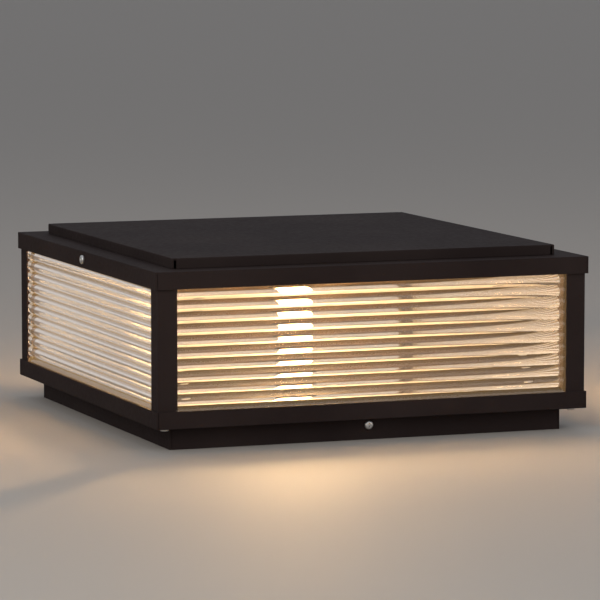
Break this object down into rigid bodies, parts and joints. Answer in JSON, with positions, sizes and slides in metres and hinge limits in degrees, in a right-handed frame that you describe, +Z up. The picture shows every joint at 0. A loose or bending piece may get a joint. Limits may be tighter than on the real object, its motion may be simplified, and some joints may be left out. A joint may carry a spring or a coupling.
{
  "type": "pillar light",
  "caption": "Low square pillar light with a folded metal base and cap, corner posts, ribbed glass sides, a lamp that unscrews and a cap that lifts off.",
  "frame": {"origin": "middle of the underside, on the pillar's top face", "axes": "+Z up along the lamp, -Y to the front face of the plinth, which has a screw in its middle, +X to the right"},
  "size_m": [0.4048, 0.4, 0.163],
  "materials": {
    "powder_coat": "matt powder coat, charcoal",
    "coated_steel": "matt powder coat, charcoal",
    "galvanised_steel": "zinc plated",
    "stainless_steel": "satin",
    "aluminium": "plain",
    "ribbed_glass": "clear, pressed with horizontal ribs",
    "black_rubber": "matt",
    "white_enamel": "satin white",
    "black_plastic": "matt",
    "white_plastic": "matt",
    "brass": "plain",
    "brown_insulation": "satin",
    "blue_insulation": "satin",
    "green_yellow_insulation": "satin",
    "lamp_cap_metal": "bright nickel",
    "black_glass": "gloss",
    "opal_glass": "opal, lit",
    "phosphor": "gloss"
  },
  "bodies": {
    "base": {"plinth": "powder_coat", "tray": "powder_coat", "post_front_left": "powder_coat", "post_front_right": "powder_coat", "post_back_right": "powder_coat", "post_back_left": "powder_coat", "glass_rails": "coated_steel", "upper_frame": "coated_steel", "floor_cover": "coated_steel", "mounting_plate": "galvanised_steel", "lampholder_bracket": "galvanised_steel", "plinth_screws": "stainless_steel", "lower_post_screws": "stainless_steel", "upper_post_screws": "stainless_steel", "cover_screws": "stainless_steel", "lampholder_screws": "stainless_steel", "block_screws": "stainless_steel", "terminal_screws": "stainless_steel", "ear_nuts": "stainless_steel", "cover_standoffs": "stainless_steel", "earth_stud": "stainless_steel", "earth_lug": "stainless_steel", "plinth_rivets": "aluminium", "bracket_rivets": "aluminium", "glass_front": "ribbed_glass", "glass_right": "ribbed_glass", "glass_back": "ribbed_glass", "glass_left": "ribbed_glass", "glazing_channels": "black_rubber", "top_seals": "black_rubber", "gland_seal": "black_rubber", "lampholder_body": "black_plastic", "gland_body": "black_plastic", "gland_nut": "black_plastic", "gland_locknut": "black_plastic", "terminal_block": "white_plastic", "lampholder_sleeve": "brass", "lampholder_contact": "brass", "terminal_inserts": "brass", "earth_nuts": "brass", "live_lead": "brown_insulation", "neutral_lead": "blue_insulation", "earth_lead": "green_yellow_insulation"},
    "cap": {"cap": "powder_coat", "cap_gasket": "black_rubber", "top_plate": "powder_coat", "top_plate_studs": "stainless_steel", "stud_washers": "black_rubber", "stud_nuts": "stainless_steel", "ceiling_reflector": "white_enamel", "cap_screws": "stainless_steel", "cap_nuts": "stainless_steel"},
    "lamp_foot": {"lamp_contact": "lamp_cap_metal", "lamp_insulator": "black_glass"},
    "lamp": {"lamp_cap": "lamp_cap_metal", "lamp_envelope": "opal_glass", "led_carrier": "aluminium", "led_strips": "phosphor"}
  },
  "joints": [
    {"name": "cap_lift", "type": "slide", "parent": "base", "child": "cap", "axis": [0, 0, 1], "range_m": [0, 0.15]},
    {"name": "lamp_rise", "type": "slide", "parent": "base", "child": "lamp_foot", "axis": [0, 0, 1], "range_m": [0, 0.0073]},
    {"name": "lamp_turn", "type": "hinge", "parent": "lamp_foot", "child": "lamp", "pos_m": [0, 0, 0.05], "axis": [0, 0, 1], "range_deg": [0, 720]}
  ],
  "couplings": [
    {"joint": "lamp_rise", "follows": "lamp_turn", "m_per_rad": 0.0005775}
  ]
}
